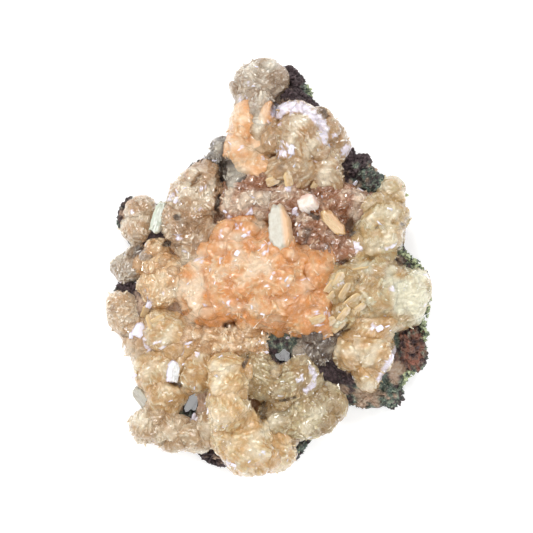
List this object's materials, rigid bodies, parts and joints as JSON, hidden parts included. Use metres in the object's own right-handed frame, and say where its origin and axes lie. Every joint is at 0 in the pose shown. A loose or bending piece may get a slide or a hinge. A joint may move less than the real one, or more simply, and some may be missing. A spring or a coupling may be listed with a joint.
{
  "type": "mineral specimen",
  "caption": "Hand specimen of stellerite sheaves and heulandite crystals on dark basalt, flat at the back so that it lies steadily.",
  "frame": {"origin": "middle of the flat base, under the centre of the bounding box", "axes": "+Z away from the flat base, out of the face with the crystals; +Y along the specimen's length to its narrow tip; +X to the right when that face is looked at with the tip up"},
  "size_m": [0.094, 0.1203, 0.0345],
  "materials": {
    "basalt": "rough",
    "orange": "pearly",
    "deep_orange": "pearly",
    "peach": "pearly",
    "cream_gold": "pearly",
    "gold_beige": "pearly",
    "olive_cream": "pearly",
    "ball_cream": "pearly",
    "fan_cream": "pearly",
    "beige": "pearly",
    "beige_pink": "pearly",
    "pink_beige": "pearly",
    "brown_gold": "pearly",
    "brown_mauve": "pearly",
    "mauve": "pearly",
    "grey_cream": "pearly",
    "grey_pink": "pearly",
    "grey_white": "pearly",
    "pale_cream": "glassy",
    "amber": "glassy",
    "green_white": "glassy",
    "white": "glassy"
  },
  "bodies": {
    "root": {"amber_crystal": "amber", "back_druse": "brown_mauve", "basalt_matrix": "basalt", "central_drift": "orange", "cream_lobes": "cream_gold", "crown": "olive_cream", "far_left_balls": "grey_pink", "green_white_plate": "green_white", "grey_blade": "grey_white", "grey_lump": "grey_white", "left_cluster": "pink_beige", "left_domes": "gold_beige", "left_shoulder": "beige_pink", "left_wedge": "grey_cream", "lower_column": "cream_gold", "lower_left_lumps": "brown_gold", "mauve_lump": "mauve", "middle_fans": "beige", "orange_tongue": "deep_orange", "peach_ledge": "peach", "right_ball": "ball_cream", "right_fan": "fan_cream", "right_lobes": "gold_beige", "square_plate": "white", "standing_blade": "pale_cream", "striped_plate": "white", "top_knob": "grey_cream", "white_block": "white"}
  },
  "joints": []
}
